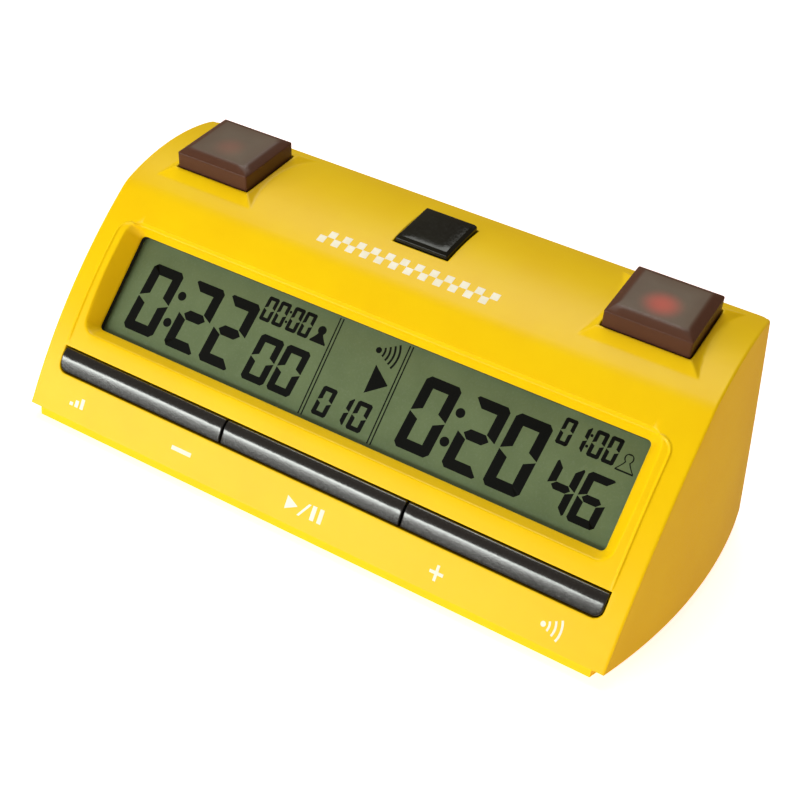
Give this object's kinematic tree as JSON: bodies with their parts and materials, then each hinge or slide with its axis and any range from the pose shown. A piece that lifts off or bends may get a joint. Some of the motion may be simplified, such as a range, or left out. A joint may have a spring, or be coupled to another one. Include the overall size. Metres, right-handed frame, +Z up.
{
  "type": "chess clock",
  "caption": "Wedge-shaped digital game clock with a wide display, two push buttons, a centre button and a row of keys.",
  "frame": {"origin": "under the middle of the clock, on the surface it stands on", "axes": "+X along the clock to the right as the display is read, +Y from the display to the back, +Z up"},
  "size_m": [0.175, 0.0788, 0.0658],
  "materials": {
    "yellow_abs": "moulded ABS, fine satin texture",
    "black_abs": "moulded ABS, charcoal, fine spark texture",
    "gloss_black_abs": "moulded ABS, polished",
    "smoked_polycarbonate": "moulded smoked translucent polycarbonate",
    "rubber": "moulded rubber",
    "zinc_steel": "zinc-plated steel",
    "nickel_contact": "nickel-plated spring steel",
    "lcd_film": "anti-glare polarising film",
    "lcd_glass": "float glass sandwich",
    "silicone_elastomer": "layered conductive silicone",
    "fibreglass_board": "glass-fibre laminate with green solder mask",
    "black_epoxy": "potting epoxy",
    "tin_can": "tinned steel can",
    "buzzer_brass": "stamped brass",
    "red_led_epoxy": "tinted clear epoxy",
    "cell_wrap": "shrink film over a steel can",
    "grey_ribbon": "PVC flat cable"
  },
  "bodies": {
    "root": {"base_plate": "yellow_abs", "battery_1": "cell_wrap", "battery_2": "cell_wrap", "board_screw_1": "zinc_steel", "board_screw_2": "zinc_steel", "board_screw_3": "zinc_steel", "board_screw_4": "zinc_steel", "board_screw_5": "zinc_steel", "button_board": "fibreglass_board", "buzzer": "buzzer_brass", "contact_spring_1": "nickel_contact", "contact_spring_2": "nickel_contact", "controller_chip": "black_epoxy", "front_left_foot": "rubber", "front_polarizer": "lcd_film", "front_right_foot": "rubber", "housing_screw_1": "zinc_steel", "housing_screw_2": "zinc_steel", "housing_screw_3": "zinc_steel", "housing_screw_4": "zinc_steel", "key_bracket": "black_abs", "lcd_frame": "black_abs", "lcd_panel": "lcd_glass", "left_button_board_screw": "zinc_steel", "left_button_spring": "zinc_steel", "left_button_switch": "black_abs", "left_key_switch_1": "black_abs", "left_key_switch_2": "black_abs", "left_led": "red_led_epoxy", "link_contact": "nickel_contact", "main_board": "fibreglass_board", "middle_button_switch": "black_abs", "middle_key_switch": "black_abs", "negative_contact": "nickel_contact", "positive_contact": "nickel_contact", "power_switch": "zinc_steel", "quartz_crystal": "tin_can", "rear_left_foot": "rubber", "rear_right_foot": "rubber", "ribbon_cable": "grey_ribbon", "right_button_board_screw": "zinc_steel", "right_button_spring": "zinc_steel", "right_button_switch": "black_abs", "right_key_switch_1": "black_abs", "right_key_switch_2": "black_abs", "right_led": "red_led_epoxy", "upper_shell": "yellow_abs", "zebra_connector": "silicone_elastomer"},
    "left_button": {"left_button_cap": "smoked_polycarbonate", "left_button_carrier": "black_abs"},
    "right_button": {"right_button_cap": "smoked_polycarbonate", "right_button_carrier": "black_abs"},
    "centre_button": {"middle_button": "gloss_black_abs"},
    "left_rocker": {"left_key": "black_abs"},
    "centre_key": {"middle_key": "black_abs"},
    "right_rocker": {"right_key": "black_abs"},
    "door": {"battery_door": "yellow_abs"},
    "power_knob": {"power_slider": "black_abs"}
  },
  "joints": [
    {"name": "left_button_press", "type": "slide", "parent": "root", "child": "left_button", "axis": [0, 0.153, -0.9882], "range_m": [0, 0.0025], "stiffness_N_per_m": 350, "springref_m": -0.001, "deforming": ["left_button_spring"]},
    {"name": "right_button_press", "type": "slide", "parent": "root", "child": "right_button", "axis": [0, 0.153, -0.9882], "range_m": [0, 0.0025], "stiffness_N_per_m": 350, "springref_m": -0.001, "deforming": ["right_button_spring"]},
    {"name": "centre_button_press", "type": "slide", "parent": "root", "child": "centre_button", "axis": [0, 0.153, -0.9882], "range_m": [0, 0.001], "stiffness_N_per_m": 900, "springref_m": -0.0003},
    {"name": "left_key_rock", "type": "hinge", "parent": "root", "child": "left_rocker", "pos_m": [-0.0497, -0.02939, 0.01405], "axis": [0, 0.489, 0.8723], "range_deg": [-2, 2], "stiffness_Nm_per_rad": 0.9},
    {"name": "centre_key_press", "type": "slide", "parent": "root", "child": "centre_key", "axis": [0, 0.8723, -0.489], "range_m": [0, 0.0006], "stiffness_N_per_m": 1500, "springref_m": -0.0002},
    {"name": "right_key_rock", "type": "hinge", "parent": "root", "child": "right_rocker", "pos_m": [0.0497, -0.02939, 0.01405], "axis": [0, 0.489, 0.8723], "range_deg": [-2, 2], "stiffness_Nm_per_rad": 0.9},
    {"name": "battery_door_slide", "type": "slide", "parent": "root", "child": "door", "axis": [0, 1, 0], "range_m": [0, 0.038]},
    {"name": "power_slide", "type": "slide", "parent": "root", "child": "power_knob", "axis": [1, 0, 0], "range_m": [0, 0.003]}
  ]
}
